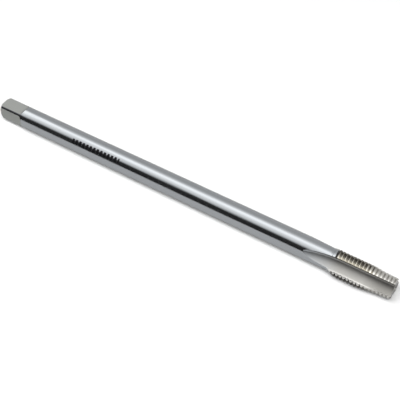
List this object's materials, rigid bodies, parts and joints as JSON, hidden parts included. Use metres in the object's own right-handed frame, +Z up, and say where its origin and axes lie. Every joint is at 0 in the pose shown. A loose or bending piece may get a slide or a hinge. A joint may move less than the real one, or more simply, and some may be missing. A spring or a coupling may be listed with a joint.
{
  "type": "thread tap",
  "caption": "Long-shank machine tap for a metric fine thread: drive square, round shank, straight flutes and a tapered cutting end.",
  "frame": {"origin": "on the tap's axis, at the centre of the drive square's end face", "axes": "+X along the axis towards the cutting end; +Z up as the tap lies on a bench, rolled a little to one side so that the edge of a land is about to touch; the shank rests on the plane 4 mm below the axis"},
  "size_m": [0.16, 0.0099, 0.009],
  "materials": {
    "ground_steel": "ground and polished high speed steel"
  },
  "bodies": {
    "root": {"tap": "ground_steel"}
  },
  "joints": []
}
